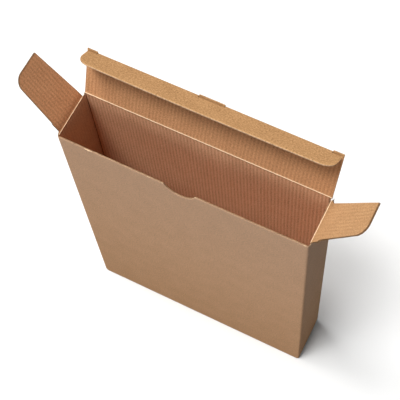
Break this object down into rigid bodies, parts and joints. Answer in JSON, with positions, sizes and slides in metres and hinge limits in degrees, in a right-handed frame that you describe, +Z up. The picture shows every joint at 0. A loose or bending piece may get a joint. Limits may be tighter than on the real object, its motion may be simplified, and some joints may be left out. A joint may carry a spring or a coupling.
{
  "type": "tuck-top cardboard box",
  "caption": "Slim corrugated cardboard box standing open, with a hinged tuck lid, side dust flaps and a thumb notch in the front wall.",
  "frame": {"origin": "centre of the box's footprint on the floor, under the walls", "axes": "+X to the right along the box's width, +Y from the front wall to the back wall, +Z up"},
  "size_m": [0.3154, 0.0683, 0.3814],
  "materials": {
    "kraft_board": "matte uncoated kraft liner, flutes showing through on the inside"
  },
  "bodies": {
    "box_body": {"box_body": "kraft_board"},
    "lid": {"lid": "kraft_board"},
    "tuck_flap": {"tuck_flap": "kraft_board"},
    "left_dust_flap": {"left_dust_flap": "kraft_board"},
    "right_dust_flap": {"right_dust_flap": "kraft_board"}
  },
  "joints": [
    {"name": "lid_hinge", "type": "hinge", "parent": "box_body", "child": "lid", "pos_m": [0, 0.0242, 0.325], "axis": [-1, 0, 0], "range_deg": [-112, 68]},
    {"name": "tuck_fold", "type": "hinge", "parent": "lid", "child": "tuck_flap", "pos_m": [0, 0.04169, 0.3683], "axis": [-1, 0, 0], "range_deg": [-30.34, 18.46]},
    {"name": "left_flap_hinge", "type": "hinge", "parent": "box_body", "child": "left_dust_flap", "pos_m": [-0.1192, 0, 0.323], "axis": [0, -1, 0], "range_deg": [-120, 60]},
    {"name": "right_flap_hinge", "type": "hinge", "parent": "box_body", "child": "right_dust_flap", "pos_m": [0.1192, 0, 0.323], "axis": [0, 1, 0], "range_deg": [-129, 51]}
  ],
  "couplings": [
    {"joint": "tuck_fold", "follows": "lid_hinge", "ratio": 0.27}
  ]
}
